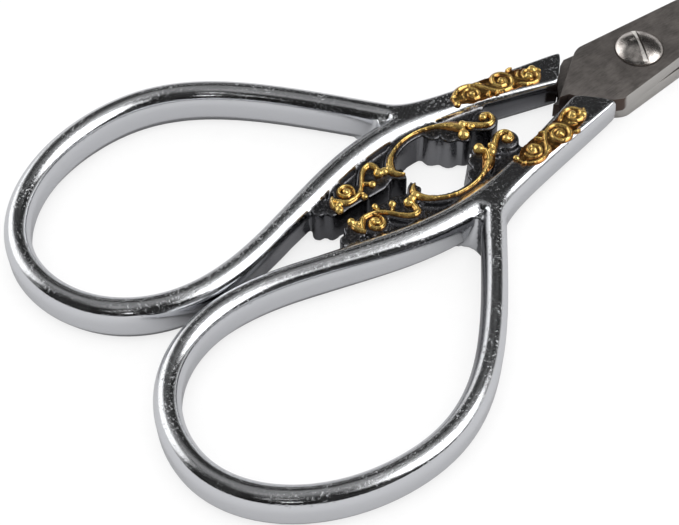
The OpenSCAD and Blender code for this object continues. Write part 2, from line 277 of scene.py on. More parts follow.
def steel_finish():
    """Dark steel with a lengthwise grain, lighter on its upright sides, with painted brown shade on the
    sides beside the sockets and at the heel.
    """
    made, f = material("blade steel")
    tones = settings()[1]
    spot = f.place()
    lines = f.noise(f.place((0.12, 1.0, 1.0)), 9.0, 5.0, 0.7)
    blotch = f.noise(spot, 0.5, 3.0)
    specks = f.noise(spot, 14.0, 2.0)
    facing = upward(f)
    side = f.ramp(facing * facing, 0.2, 0.7, 1.0, 0.0)
    shade = f.ramp(lines, 0.3, 0.7, 0.35, 0.75) + f.ramp(blotch, 0.3, 0.7, 0.2, 0.6)
    face = f.shaded(shade, tones.steel)
    tint = f.blend(side * 0.8, face, tuple(tones.ground))
    along = f.node("SeparateXYZ", output="X", Vector=spot)
    across = f.node("SeparateXYZ", output="Y", Vector=spot)
    aside = across.at_least(0.0 - across)
    ahead, out = along - PIVOT.x - SOCKET_IN.x, aside - SOCKET_IN.y
    gap = ahead * SOCKET_FACE.x + out * SOCKET_FACE.y
    # Painted shade on the sides, in the corner beside the socket and at the heel behind the pivot
    corner = f.ramp(gap + blotch * 0.5, 0.7, 1.2, 1.0, 0.0) * f.ramp(aside, 2.0, 3.0)
    behind = f.ramp(along + blotch * 0.6, PIVOT.x - 4.6, PIVOT.x - 4.0, 1.0, 0.0)
    heel = behind * f.ramp(aside, 2.6, 2.2)
    tarnish_and_shade = corner.at_least(heel) * side
    tint = f.blend(tarnish_and_shade, tint, tuple(tones.tarnish_and_shade))
    height = lines * 0.5 + specks * 0.35
    normal = f.node("Bump", Height=height, Strength=0.3, Distance=0.00006)
    rough = 0.28 + lines * 0.16 + specks * 0.08 + tarnish_and_shade * 0.2
    f.surface(Base_Color=tint, Metallic=0.5 + side * 0.4, Roughness=rough, Normal=normal)
    return made


def ground_finish():
    """Bright ground steel of the broken edges."""
    made, f = material("ground edge")
    tones = settings()[1]
    lines = f.noise(f.place((0.2, 1.0, 1.0)), 6.0, 4.0)
    shade = 0.8 + lines * 0.35
    tint = f.shaded(shade, tones.ground)
    f.surface(Base_Color=tint, Metallic=1.0, Roughness=0.2 + lines * 0.15)
    return made


def screw_finish():
    """Polished steel with a warm tarnish."""
    made, f = material("tarnished screw")
    tones = settings()[1]
    spot = f.place()
    cloud = f.ramp(f.noise(spot, 0.9, 4.0), 0.4, 0.75)
    scratch = f.noise(f.place((4.0, 0.5, 1.0)), 3.0, 4.0)
    tint = f.blend(cloud * 0.6, tuple(tones.screw), tuple(tones.tarnish_and_shade))
    normal = f.node("Bump", Height=scratch, Strength=0.2, Distance=0.00006)
    rough = 0.16 + cloud * 0.12 + scratch * 0.06
    f.surface(Base_Color=tint, Metallic=1.0, Roughness=rough, Normal=normal)
    return made


def slot_finish():
    """Painted dark shade on the walls of the slot, and a painted light on its upward-facing floor,
    unevenly.
    """
    made, f = material("slot of the screw")
    tones = settings()[1]
    spot = f.place()
    # Painted light on the upward-facing floor of the slot; everything else in it gets painted dark shade
    painted_floor_light = f.ramp(upward(f), 0.7, 0.9) * f.ramp(f.noise(spot, 1.6, 3.0), 0.3, 0.5, 0.5, 1.0)
    tint = f.blend(painted_floor_light, (0.05, 0.04, 0.035), (0.85, 0.82, 0.78))
    rough = 0.75 - painted_floor_light * 0.2
    f.surface(Base_Color=tint, Metallic=0.3, Roughness=rough)
    return made


def heading(angle):
    """A level direction from its angle in degrees."""
    return Vector((math.cos(math.radians(angle)), math.sin(math.radians(angle)), 0.0))


def at(x, y, z=0.0):
    return Vector((x, y, z))


def curve(start, start_angle, start_pull, end, end_angle, end_pull, count):
    """Points along a curve that leaves and arrives at given angles."""
    near = start + start_pull * heading(start_angle)
    far = end - end_pull * heading(end_angle)
    return interpolate_bezier(start, near, far, end, count + 1)


def spiral(centre, start_radius, end_radius, start_angle, end_angle, count):
    """Points along a spiral round a centre."""
    points = []
    for i in range(count + 1):
        t = i / count
        radius = start_radius + (end_radius - start_radius) * t
        points.append(centre + radius * heading(start_angle + (end_angle - start_angle) * t))
    return points


def joined(*runs):
    """Runs of points as one run, with shared ends kept once."""
    points = list(runs[0])
    for run in runs[1:]:
        points += run[1:]
    return points


def graded(stops, count):
    """One value per point, in steady steps between the stops."""
    values = []
    for i in range(count):
        s = i / (count - 1) * (len(stops) - 1)
        k = min(int(s), len(stops) - 2)
        values.append(stops[k] + (stops[k + 1] - stops[k]) * (s - k))
    return values


def tangents(points):
    """The direction of a run at each of its points."""
    last = len(points) - 1
    return [(points[min(i + 1, last)] - points[max(i - 1, 0)]).normalized() for i in range(last + 1)]


def beside(point, tangent, distance):
    """The place to the left of a point on a level run."""
    return point + distance * Vector((-tangent.y, tangent.x, 0.0))


def as_bar(x, y):
    """Turns a unit circle into the bow's section: round top, upright walls, narrow sole."""
    if y >= 0:
        return x, WALL_END + (1 - WALL_END) * y
    lean = min(-y / LEAN_END, 1.0)
    if lean < 1:
        return math.copysign(1 - (1 - SOLE) * lean, x), WALL_START - (1 + WALL_START) * lean
    return x / math.sqrt(1 - LEAN_END**2) * SOLE, -1.0


def sweep(bm, points, widths, heights, segments=32, shape=None):
    """A round section, or one shaped from it, drawn along a level run of points through its middle."""
    places = []
    for point, tangent, width, height in zip(points, tangents(points), widths, heights):
        place = Matrix.Identity(4)
        place.col[0] = (-tangent.y * width / 2, tangent.x * width / 2, 0, 0)
        place.col[1] = (0, 0, height / 2, 0)
        place.col[2] = (tangent.x, tangent.y, 0, 0)
        place.col[3] = (*point, 1)
        places.append(place)
    ring = bmesh.ops.create_circle(bm, cap_ends=False, segments=segments, radius=1.0)["verts"]
    if shape:
        for vert in ring:
            vert.co.x, vert.co.y = shape(vert.co.x, vert.co.y)
    bmesh.ops.transform(bm, matrix=places[0], verts=ring)
    edges = list({e for v in ring for e in v.link_edges})
    first = edges
    for before, after in zip(places, places[1:]):
        grown = bmesh.ops.extrude_edge_only(bm, edges=edges)["geom"]
        verts = [g for g in grown if isinstance(g, bmesh.types.BMVert)]
        fresh = set(verts)
        edges = [g for g in grown if isinstance(g, bmesh.types.BMEdge) and fresh.issuperset(g.verts)]
        bmesh.ops.transform(bm, matrix=after @ before.inverted(), verts=verts)
    bmesh.ops.contextual_create(bm, geom=first)
    bmesh.ops.contextual_create(bm, geom=edges)


def prism(bm, outline, low, high):
    """An upright solid over an outline. Gives back the verts of its top."""
    face = bm.faces.new([bm.verts.new((p.x, p.y, low)) for p in outline])
    grown = bmesh.ops.extrude_face_region(bm, geom=[face])["geom"]
    top = [g for g in grown if isinstance(g, bmesh.types.BMVert)]
    bmesh.ops.translate(bm, vec=(0, 0, high - low), verts=top)
    return top


def ribbon(points, radii):
    """Outline of a band along a level run."""
    ways = tangents(points)
    left = [beside(p, w, r) for p, w, r in zip(points, ways, radii)]
    right = [beside(p, w, -r) for p, w, r in zip(points, ways, radii)]
    return left + right[::-1]


def disc(bm, centre, radius, low, high, top_radius=None):
    """An upright round post, straight or leaning in to a radius of its own at the top."""
    bmesh.ops.create_cone(
        bm,
        cap_ends=True,
        segments=28,
        radius1=radius,
        radius2=top_radius or radius,
        depth=high - low,
        matrix=Matrix.Translation((centre.x, centre.y, (low + high) / 2)),
    )


def to_mesh(bm, name):
    """A clean mesh from millimetres round the pivot to metres in the row frame."""
    bmesh.ops.transform(bm, matrix=TO_ROW, verts=bm.verts)
    bmesh.ops.recalc_face_normals(bm, faces=bm.faces)
    mesh = bpy.data.meshes.new(name)
    bm.to_mesh(mesh)
    bm.free()
    return mesh


def show(name, mesh, body, node, finishes):
    """Puts a finished mesh into the scene in place of a CAD node."""
    made = bpy.data.objects.new(name, mesh)
    bpy.context.scene.collection.objects.link(made)
    for finish in finishes:
        mesh.materials.append(finish)
    for polygon in mesh.polygons:
        polygon.use_smooth = True
    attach(made, body)
    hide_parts(node)


def with_modifiers(mesh, steps):
    """The mesh after a row of modifiers, each given by its kind and its settings."""
    carrier = bpy.data.objects.new("carrier", mesh)
    bpy.context.scene.collection.objects.link(carrier)
    for kind, values in steps:
        modifier = carrier.modifiers.new(kind.lower(), kind)
        for name, value in values.items():
            setattr(modifier, name, value)
    evaluated = carrier.evaluated_get(bpy.context.evaluated_depsgraph_get())
    made = bpy.data.meshes.new_from_object(evaluated)
    bpy.data.objects.remove(carrier)
    bpy.data.meshes.remove(mesh)
    return made


def as_cast(mesh, grain, rounds):
    """Overlapping solids as one soft skin."""
    remesh = ("REMESH", {"mode": "VOXEL", "voxel_size": grain})
    smooth = ("SMOOTH", {"factor": 0.5, "iterations": rounds})
    return with_modifiers(mesh, [remesh, smooth])


# Section of the bow, in half heights from its middle: start and end of the upright wall, and half the sole
WALL_START, WALL_END, SOLE = -0.42, 0.31, 0.36
# Depth on the unit circle at which the leaning underside meets the sole
LEAN_END = 0.9

# Lines and sizes of the left half, in millimetres from the pivot
FORK, CREST = at(-28.2, 9.3), at(-29.2, 6.95)
WIDE, FAR, TOUCH = at(-52.5, 27.6), at(-69.9, 14.2), at(-56.3, 1.55)
OUTER_ROOT, INNER_ROOT = at(-6.3, 3.5), at(-7.3, 1.55)
FINE = 26
OUTER_ARM = joined(
    curve(OUTER_ROOT, 168.5, 13, FORK, 129, 3.5, FINE),
    curve(FORK, 129, 14, WIDE, 180, 10, FINE),
    curve(WIDE, 180, 9.5, FAR, 270, 7.5, FINE),
)
INNER_ARM = joined(
    curve(FAR, 270, 6.9, TOUCH, 360, 8.2, FINE),
    curve(TOUCH, 0, 9, CREST, -2, 10, FINE),
    curve(CREST, -2, 5, INNER_ROOT, -15, 9, FINE),
)
SHANK_FROM, SHANK_TO = at(-28.2, 8.1), at(-6, 2.4)
SHANK_LINE = curve(SHANK_FROM, -32, 3.5, SHANK_TO, -14, 8, 24)
SHANK_HEIGHT, SHANK_WIDTH, FORK_WIDTH = 4.75, 2.5, 2.75
# The inner arm is broader beside the openwork: by how much, from which of its points and over how many
BROADER, BROADER_FROM, BROADER_COUNT = [0, 0.4, 0.55, 0.5, 0.3, 0], 35, 31
SOCKET_IN, SOCKET_OUT = at(-9.92, 1.51), at(-7.04, 4.42)
SOCKET_WAY = (SOCKET_OUT - SOCKET_IN).normalized()
SOCKET_FACE = at(SOCKET_WAY.y, -SOCKET_WAY.x)
PLANE_FROM, PLANE_TOP, PLANE_FALL = -29.5, 5.2, 0.0486
HEART_LINE = joined(
    curve(at(-31.9, 0.85), 170, 0.5, at(-32.85, 2.1), 78, 0.6, 12),
    curve(at(-32.85, 2.1), 72, 1.3, at(-28.2, 4.75), 0, 2.4, 24),
    curve(at(-28.2, 4.75), 0, 2.6, at(-23.15, 1.7), 262, 1.5, 24),
)
HEART_BALL = at(-23.6, 1.25)
TAIL_RUN = joined(
    curve(at(-33.85, 2.6), 105, 0.6, at(-34.45, 4.15), 180, 0.7, 10),
    curve(at(-34.45, 4.15), 180, 0.9, at(-36.75, 2.15), 226, 1.0, 10),
    curve(at(-36.75, 2.15), 226, 0.9, at(-38.9, 1.3), 180, 0.9, 10),
    curve(at(-38.9, 1.3), 180, 0.6, at(-40.25, 2.7), 115, 0.7, 10),
)
TAIL_EYE = at(-38.5, 2.6)
TAIL_END = curve(at(-40.0, 2.9), 225, 0.7, at(-40.6, 1.25), 285, 0.6, 12)
TIP_RUN = curve(at(-22.6, 2.7), -50, 0.9, at(-20.25, 0.85), 0, 0.9, 14)
TIP_EYE = at(-20.25, 1.75)
FLOOR_EDGE = joined(
    curve(at(-42.3, 3.4), -75, 1.4, at(-40.4, 0.7), 0, 1, 6),
    curve(at(-34.6, 0.65), 0, 0.8, at(-32.7, 2.6), 80, 0.8, 5),
    curve(at(-32.4, 3.4), 40, 1.4, at(-28, 5.1), 0, 1.6, 5),
    curve(at(-26.5, 4.2), -62, 1, at(-24.3, 1.3), -40, 0.8, 5),
    curve(at(-21.4, 1.6), 0, 0.8, at(-18.4, 4.6), 80, 1, 5),
    curve(at(-24, 6.4), 160, 3, at(-42.3, 4.2), 195, 3, 6),
)
LOBES = [
    (at(-41.39, 2.67), 0.62), (at(-41.04, 1.63), 0.78), (at(-35.53, 1.77), 0.5), (at(-34.71, 3.04), 0.5),
    (at(-37.28, 0.98), 0.45),
]
FLUTES, FLUTE_FOOT, FLUTE_TOP = [at(-25.99, 3.66), at(-24.76, 2.29)], 1.21, 0.9
FILLS = [(at(-33.85, 2.65), 0.62), (at(-42.2, 2.4), 0.7)]
TAIL_FILL = [
    at(-40.5, 0.75), at(-34.7, 0.7), at(-33.5, 1.2), at(-33.1, 2.2),
    at(-34.4, 3.5), at(-36.7, 2.3), at(-38.9, 1.5), at(-40.2, 2.5),
]
CROTCH_ROOT, CROTCH_LEAN = at(-28.75, 8.38), 0.44
CROTCH_EDGE = curve(at(-31.8, 7.8), 10, 1.4, at(-31, 11.2), 125, 1.6, 10)
BENDS, BEND_RADIUS = [at(-34.4, 3.6), at(-32.1, 1.5)], 0.4
# Underside of the openwork, how far its floor lies inside the walls' height, and the same for the fill
FOOT, FLOOR_SINK, FILL_LIFT, FILL_SINK = 0.25, 0.64, 0.3, 0.1
# Softening of the shank's rim and of the socket end's corner: reach and rounds
RIM_REACH, RIM_ROUNDS = 0.5, 14
CORNER_REACH, CORNER_ROUNDS = 1.2, 24


def plane_height(x):
    """Height of the planed top of the shank, which carries the running scroll."""
    return PLANE_TOP - (x - PLANE_FROM) * PLANE_FALL


def casting(sizes):
    """One plated casting as a single skin: bow, arms, shank and openwork of the left half."""
    bm = bmesh.new()
    width, height = sizes.bow_width / MM, sizes.bow_height / MM
    points = joined(OUTER_ARM, INNER_ARM)
    third = FINE + 1
    widths = graded([SHANK_WIDTH, FORK_WIDTH, width], 2 * FINE + 1) + [width] * (2 * FINE)
    widths += graded([width, SHANK_WIDTH], len(points) - len(widths))
    heights = graded([SHANK_HEIGHT, height], third) + [height] * (len(points) - 2 * third)
    heights += graded([height, SHANK_HEIGHT], third)
    outs = [0.0] * (len(OUTER_ARM) + BROADER_FROM) + graded(BROADER, BROADER_COUNT)
    outs += [0.0] * (len(points) - len(outs))
    widths = [w + out for w, out in zip(widths, outs)]
    shifted = [beside(p, way, -out / 2) for p, way, out in zip(points, tangents(points), outs)]
    lifted = [p + Vector((0, 0, h / 2)) for p, h in zip(shifted, heights)]
    sweep(bm, lifted, widths, heights, 56, as_bar)
    prism(bm, ribbon(SHANK_LINE, graded([0.9, 0.9, 1.1, 1.4], len(SHANK_LINE))), 0.3, height)
    wall, wall_top = sizes.wall / MM, sizes.wall_top / MM
    for run in (HEART_LINE, TAIL_RUN, TAIL_END, TIP_RUN):
        prism(bm, ribbon(run, [wall] * len(run)), FOOT, wall_top)
    rounds = [(p, BEND_RADIUS) for p in BENDS] + LOBES + FILLS
    rounds += [(HEART_BALL, wall + 0.2), (TAIL_EYE, 0.8 + wall), (TIP_EYE, 0.85 + wall)]
    for centre, radius in rounds:
        disc(bm, centre, radius, FOOT, wall_top)
    for centre in FLUTES:
        disc(bm, centre, FLUTE_FOOT, FOOT, wall_top, FLUTE_TOP)
    prism(bm, FLOOR_EDGE, FOOT + FLOOR_SINK, wall_top - FLOOR_SINK)
    prism(bm, TAIL_FILL, FOOT + FILL_LIFT, wall_top - FILL_SINK)
    fillet = prism(bm, [CROTCH_ROOT, *CROTCH_EDGE], FOOT, wall_top)
    about_root = Matrix.Translation(-CROTCH_ROOT)
    bmesh.ops.scale(bm, vec=(CROTCH_LEAN, CROTCH_LEAN, 1), space=about_root, verts=fillet)
    everything = bm.verts[:] + bm.edges[:] + bm.faces[:]
    bmesh.ops.bisect_plane(
        bm, geom=everything, plane_co=SOCKET_IN, plane_no=SOCKET_FACE, clear_outer=True
    )
    bmesh.ops.holes_fill(bm, edges=[e for e in bm.edges if e.is_boundary], sides=0)
    bmesh.ops.recalc_face_normals(bm, faces=bm.faces)
    return as_cast(to_mesh(bm, "casting"), sizes.grain, sizes.soften)


def plane_shank(bm):
    """Planes the shank's top level with its slope and softens the edges and the socket end's corner."""
    slope = Matrix.Translation((PLANE_FROM, 0, PLANE_TOP)) @ Matrix.Rotation(math.atan(PLANE_FALL), 4, "Y")
    high = [v for v in bm.verts if v.co.x > PLANE_FROM and v.co.z > plane_height(v.co.x)]
    bmesh.ops.scale(bm, vec=(1, 1, 0), space=slope.inverted(), verts=high)
    rim = [v for v in bm.verts if v.co.x > PLANE_FROM - 1 and v.co.z > plane_height(v.co.x) - RIM_REACH]
    for _ in range(RIM_ROUNDS):
        bmesh.ops.smooth_vert(bm, verts=rim, factor=0.5, use_axis_x=True, use_axis_y=True, use_axis_z=True)
    corner = [v for v in bm.verts if (at(v.co.x, v.co.y) - SOCKET_OUT).length < CORNER_REACH]
    for _ in range(CORNER_ROUNDS):
        bmesh.ops.smooth_vert(bm, verts=corner, factor=0.5, use_axis_x=True, use_axis_y=True)


def reading(run):
    """Gives the place across at any place along a run."""
    spots = sorted((p.x, p.y) for p in run)

    def read(x):
        k = min(max(bisect(spots, (x,)), 1), len(spots) - 1)
        (x0, y0), (x1, y1) = spots[k - 1], spots[k]
        return y0 + (y1 - y0) * min(max((x - x0) / (x1 - x0), 0), 1)

    return read


def share(value, low, high):
    """How far a value lies from low to high, as a share."""
    return min(max((value - low) / (high - low), 0), 1)


# Where the openwork begins and ends along the handle, and how far from its flutes the painted shade is
# lighter
WEB_FROM, WEB_TO, FLUTE_REACH = -44, -17.5, 1.7


def mark_recess_shade(bm, right):
    """Stores how much painted shade darkens the plating: in the openwork, on the left arm in the gap
    between the bows, and on the right arm in the narrow end of its bow."""
    layer = bm.verts.layers.float.new("recess_shade")
    inner = reading(INNER_ARM[FINE:])
    outer = reading([p for p in OUTER_ARM[: 2 * FINE + 1] if p.x < -28])
    for vert in bm.verts:
        x, y = vert.co.x, vert.co.y
        edge = 1.3 - 0.4 * share(x, -24, -18)
        inside = share(inner(x) - y, edge, edge + 0.4) if x > WEB_FROM else 0.0
        web = inside if x < WEB_TO else inside * share(-vert.normal.y, 0.06, 0.7)
        fluted = min((at(x, y) - p).length for p in FLUTES) < FLUTE_REACH and vert.normal.z < 0.6
        vert[layer] = web * (0.75 if fluted else 0.95)
        # Painted shade on the right arm's wall in the narrow end of its bow
        if right and x < -28.5 and 0.5 < outer(x) - y < 2.6:
            vert[layer] = 0.9 * share(x, -52, -40) * share(-vert.normal.z, -0.95, -0.7)
        # Painted shade on the left arm's wall in the gap between the bows
        if not right and x < -40 and 0.5 < inner(x) - y < 2.6:
            near = 0.8 * share(x, -55, -50) * share(-vert.normal.z, -0.6, -0.2)
            vert[layer] = max(vert[layer], near)


class SCISSORS_OT_handles(bpy.types.Operator):
    """Builds the two plated castings."""

    bl_idname = "scissors.handles"
    bl_label = "Handles"

    def execute(self, context):
        sizes = settings()[0]
        skin = casting(sizes)
        finish = chrome_finish()
        for side, (body, sign) in SIDES.items():
            bm = bmesh.new()
            bm.from_mesh(skin)
            bmesh.ops.transform(bm, matrix=TO_ROW.inverted(), verts=bm.verts)
            plane_shank(bm)
            bm.normal_update()
            mark_recess_shade(bm, sign < 0)
            bmesh.ops.scale(bm, vec=(1, sign, 1), verts=bm.verts)
            show(f"{side}_handle_plated", to_mesh(bm, side), body, f"{side}_handle", [finish])
        bpy.data.meshes.remove(skin)
        return {"FINISHED"}


def bead(bm, points, stops, base, rise=0.5):
    """A raised gilt line, half sunk into its base: a low foot with a ridge, as wide as the stops say."""
    widths = graded(stops, len(points))
    lifted = [Vector((p.x, p.y, base(p.x) + 0.02)) for p in points]
    heights = [2 * rise * min(1.0, 0.35 + 0.8 * w) for w in widths]
    sweep(bm, lifted, widths, [h * 0.6 for h in heights], 14)
    sweep(bm, lifted, [w * 0.6 for w in widths], heights, 14)


def level(height):
    """A base of one height everywhere."""
    return lambda x: height


def drop(bm, centre, radius, base):
    """A round drop, sunk a little into its base and never above the bows."""
    height = min(base(centre.x) + 0.15, PLANE_TOP - radius)
    place = Matrix.Translation((centre.x, centre.y, height))
    bmesh.ops.create_uvsphere(bm, u_segments=16, v_segments=10, radius=radius, matrix=place)


def leaf(bm, root, angle, reach, base, turn=50):
    """A small leaf that curls away from its root."""
    end = root + reach * heading(angle + turn / 2)
    line = curve(root, angle, reach / 3, end, angle + turn, reach / 3, 8)
    bead(bm, line, [0.3, 0.55, 0.5, 0.15], base)


def heart_scroll(bm, top):
    """The big C round the heart-shaped opening, with its drops."""
    base = level(top)
    bead(bm, HEART_LINE, [0.2, 0.8, 1.1, 0.85, 0.55, 0.45, 0.45, 0.5, 0.65, 0.95, 0.7], base)
    bead(bm, HEART_LINE[-16:], [0.5, 1.3, 1.5, 1.0], base, 0.2)
    drop(bm, HEART_BALL, 0.66, base)
    drop(bm, at(-33.0, 2.2), 0.52, base)


def tail_scroll(bm, top):
    """The S behind the heart, with its volute, drops and leaves."""
    base = level(top)
    bead(bm, TAIL_RUN, [0.6, 0.85, 0.75, 0.6, 0.55, 0.6, 0.75, 0.9, 0.5], base)
    bead(bm, spiral(TAIL_EYE, 1.0, 0.3, 300, 800, 44), [0.3, 0.6, 0.6, 0.55, 0.5], base)
    bead(bm, TAIL_END, [0.4, 0.7, 0.7, 0.5], base)
    for centre, radius in (
        (TAIL_EYE, 0.34), (at(-40.5, 1.0), 0.46), (at(-40.15, 1.6), 0.36), (at(-35.65, 1.7), 0.42),
        (at(-37.3, 0.85), 0.36), (at(-34.18, 2.55), 0.56), (at(-33.55, 2.35), 0.48),
    ):
        drop(bm, centre, radius, base)
    leaf(bm, at(-36.3, 2.5), -60, 0.9, base)
    leaf(bm, at(-37.6, 1.6), -50, 0.7, base)


def tip_curl(bm, top):
    """The small curl between the shanks."""
    base = level(top)
    line = joined(TIP_RUN, spiral(TIP_EYE, 0.9, 0.35, 270, 540, 20))
    bead(bm, line, [0.45, 0.75, 0.75, 0.7, 0.6, 0.5], base)
    for centre, radius in ((TIP_EYE + at(-0.1, 0.2), 0.46), (at(-22.3, 1.7), 0.4), (at(-22.85, 2.45), 0.5)):
        drop(bm, centre, radius, base)


def shank_scroll(bm, top):
    """The running scroll of three volutes on the planed shank, over a thin gilt ground."""
    ground = curve(at(-21.5, 5.5), -4, 3, at(-10.9, 3.5), -16, 3, 30)
    bead(bm, ground, [0.8, 2.7, 2.9, 2.9, 2.8, 2.5, 0.9], plane_height, 0.16)
    first, second, third = at(-19.25, 5.1), at(-15.4, 4.9), at(-12.3, 3.75)
    stem = joined(
        curve(at(-21.6, 5.0), 95, 0.9, at(-19.7, 6.6), 0, 0.9, 12),
        curve(at(-19.7, 6.6), 0, 1.2, at(-17.5, 5.1), -62, 0.8, 12),
        curve(at(-17.5, 5.1), -62, 0.9, at(-15.59, 3.5), -8, 0.9, 12),
        spiral(second, 1.41, 0.35, 262, 800, 56),
    )
    link = curve(at(-14.2, 3.5), -20, 0.6, at(-13.0, 2.8), -10, 0.6, 8)
    for line, stops in (
        (stem, [0.3, 0.7, 0.7, 0.65, 0.7, 0.75, 0.75, 0.7, 0.6, 0.5]),
        (spiral(first, 1.1, 0.3, 190, -290, 44), [0.35, 0.65, 0.65, 0.55, 0.5]),
        (link, [0.4, 0.7, 0.65]),
        (spiral(third, 1.2, 0.45, 230, 640, 48), [0.55, 0.7, 0.65, 0.6, 0.5]),
    ):
        bead(bm, line, stops, plane_height, 0.36)
    for centre, radius in (
        (first, 0.36), (second, 0.36), (at(-12.45, 3.6), 0.48),
        (at(-11.5, 4.2), 0.5), (at(-21.5, 4.9), 0.4),
    ):
        drop(bm, centre, radius, plane_height)
    for root, angle, reach, turn in (
        (at(-18.3, 6.2), -10, 1.1, -50),
        (at(-17.4, 4.4), 200, 0.9, 60),
        (at(-16.6, 4.0), 250, 0.8, -60),
        (at(-14.0, 5.6), 40, 0.9, -70),
        (at(-13.5, 4.3), 70, 0.9, -60),
        (at(-11.3, 4.1), -20, 0.8, -60),
        (at(-20.9, 5.9), 150, 0.7, 60),
    ):
        leaf(bm, root, angle, reach, plane_height, turn)


# Height above the casting at which the gilding's painted highlight is at its brightest
FULL_RISE = 0.42


def mark_rise(mesh, base):
    """Stores how far each vert stands above the casting, as the rise attribute."""
    layer = mesh.attributes.new("rise", "FLOAT", "POINT")
    back = TO_ROW.inverted()
    for vert, item in zip(mesh.vertices, layer.data):
        spot = back @ vert.co
        item.value = share(spot.z - base(spot.x), 0, FULL_RISE)


SCROLLS = {
    "shank_scroll": shank_scroll,
    "heart_scroll": heart_scroll,
    "tail_scroll": tail_scroll,
    "tip_curl": tip_curl,
}


class SCISSORS_OT_scrolls(bpy.types.Operator):
    """Builds the gilt relief of both halves."""

    bl_idname = "scissors.scrolls"
    bl_label = "Gilt scrolls"

    def execute(self, context):
        sizes = settings()[0]
        wall_top = sizes.wall_top / MM
        finish = gilt_finish()
        for side, (body, sign) in SIDES.items():
            for name, draw in SCROLLS.items():
                bm = bmesh.new()
                draw(bm, wall_top)
                bmesh.ops.scale(bm, vec=(1, sign, 1), verts=bm.verts)
                node = f"{side}_{name}"
                relief = as_cast(to_mesh(bm, node), sizes.gilt_grain, 3)
                mark_rise(relief, plane_height if draw is shank_scroll else level(wall_top))
                show(node + "_gilt", relief, body, node, [finish])
        return {"FINISHED"}


def broken_edges(width, angle):
    """Settings of a bevel on the edges sharper than an angle."""
    return {"width": width, "segments": 2, "limit_method": "ANGLE", "angle_limit": math.radians(angle)}


class SCISSORS_OT_blades(bpy.types.Operator):
    """Builds the two blades with broken, ground edges."""

    bl_idname = "scissors.blades"
    bl_label = "Blades"

    def execute(self, context):
        sizes = settings()[0]
        finishes = [steel_finish(), ground_finish()]
        for node, body in (("upper_blade", "upper_half"), ("lower_blade", "lower_half")):
            bm = bmesh.new()
            bm.from_mesh(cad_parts[node].data)
            bmesh.ops.remove_doubles(bm, verts=bm.verts, dist=1e-6)
            bmesh.ops.dissolve_limit(bm, angle_limit=math.radians(1), verts=bm.verts, edges=bm.edges)
            bmesh.ops.recalc_face_normals(bm, faces=bm.faces)
            mesh = bpy.data.meshes.new(node)
            bm.to_mesh(mesh)
            bm.free()
            for finish in finishes:
                mesh.materials.append(finish)
            edging = {**broken_edges(sizes.blade_edge, 35), "material": 1}
            shading = {"keep_sharp": True}
            edged = with_modifiers(mesh, [("BEVEL", edging), ("WEIGHTED_NORMAL", shading)])
            edged.materials.clear()
            show(node + "_ground", edged, body, node, finishes)
        return {"FINISHED"}


class SCISSORS_OT_screw(bpy.types.Operator):
    """Builds the slotted, domed pivot screw."""

    bl_idname = "scissors.screw"
    bl_label = "Pivot screw"

    def execute(self, context):
        sizes = settings()[0]
        low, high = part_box("pivot_screw")
        radius, rise, rim, top = (high.x - low.x) / 2 / MM, 0.9, 0.35, 5.08
        thread, shank, seat = 1.05, 1.25, top - rise - rim
        slot_floor = top - 0.65
        middle = (low + high) / 2 / MM - PIVOT
        place = Matrix.Translation((middle.x, middle.y, 0))
        bm = bmesh.new()
        profile = [(0.0, 0.05), (thread, 0.05), (thread, 2.0), (shank, 2.0), (shank, seat)]
        profile += [(radius - 0.06, seat), (radius, seat + 0.06), (radius, top - rise - 0.05)]
        sphere = (radius * radius + rise * rise) / (2 * rise)
        for i in range(1, 13):
            angle = math.asin((radius - 0.03) / sphere) * (1 - i / 12)
            profile.append((sphere * math.sin(angle), top - sphere + sphere * math.cos(angle)))
        verts = [bm.verts.new((x, 0, z)) for x, z in profile]
        edges = [bm.edges.new(pair) for pair in zip(verts, verts[1:])]
        bmesh.ops.spin(
            bm, geom=verts + edges, axis=(0, 0, 1), angle=2 * math.pi, steps=96, use_merge=True
        )
        bmesh.ops.remove_doubles(bm, verts=bm.verts, dist=1e-5)
        bmesh.ops.transform(bm, matrix=place, verts=bm.verts)
        body = to_mesh(bm, "pivot_screw")
        cutter = bmesh.new()
        turn = place @ Matrix.Rotation(math.radians(65), 4, "Z")
        size = Matrix.Diagonal((8, sizes.slot_width / MM, 2, 1))
        lifted = turn @ Matrix.Translation((0, 0, slot_floor + 1))
        bmesh.ops.create_cube(cutter, size=1.0, matrix=lifted @ size)
        tool = bpy.data.objects.new("slot cutter", to_mesh(cutter, "slot cutter"))
        bpy.context.scene.collection.objects.link(tool)
        slotting = {"operation": "DIFFERENCE", "object": tool, "solver": "EXACT"}
        cut = with_modifiers(body, [("BOOLEAN", slotting), ("BEVEL", broken_edges(0.05 * MM, 40))])
        bpy.data.objects.remove(tool)
        finishes = [screw_finish(), slot_finish()]
        show("pivot_screw_head", cut, "lower_half", "pivot_screw", finishes)
        back = turn.inverted() @ TO_ROW.inverted()
        for polygon in cut.polygons:
            spot = back @ polygon.center
            if abs(spot.y) < sizes.slot_width / MM / 2 + 0.01 and slot_floor - 0.1 < spot.z < top:
                polygon.material_index = 1
        return {"FINISHED"}


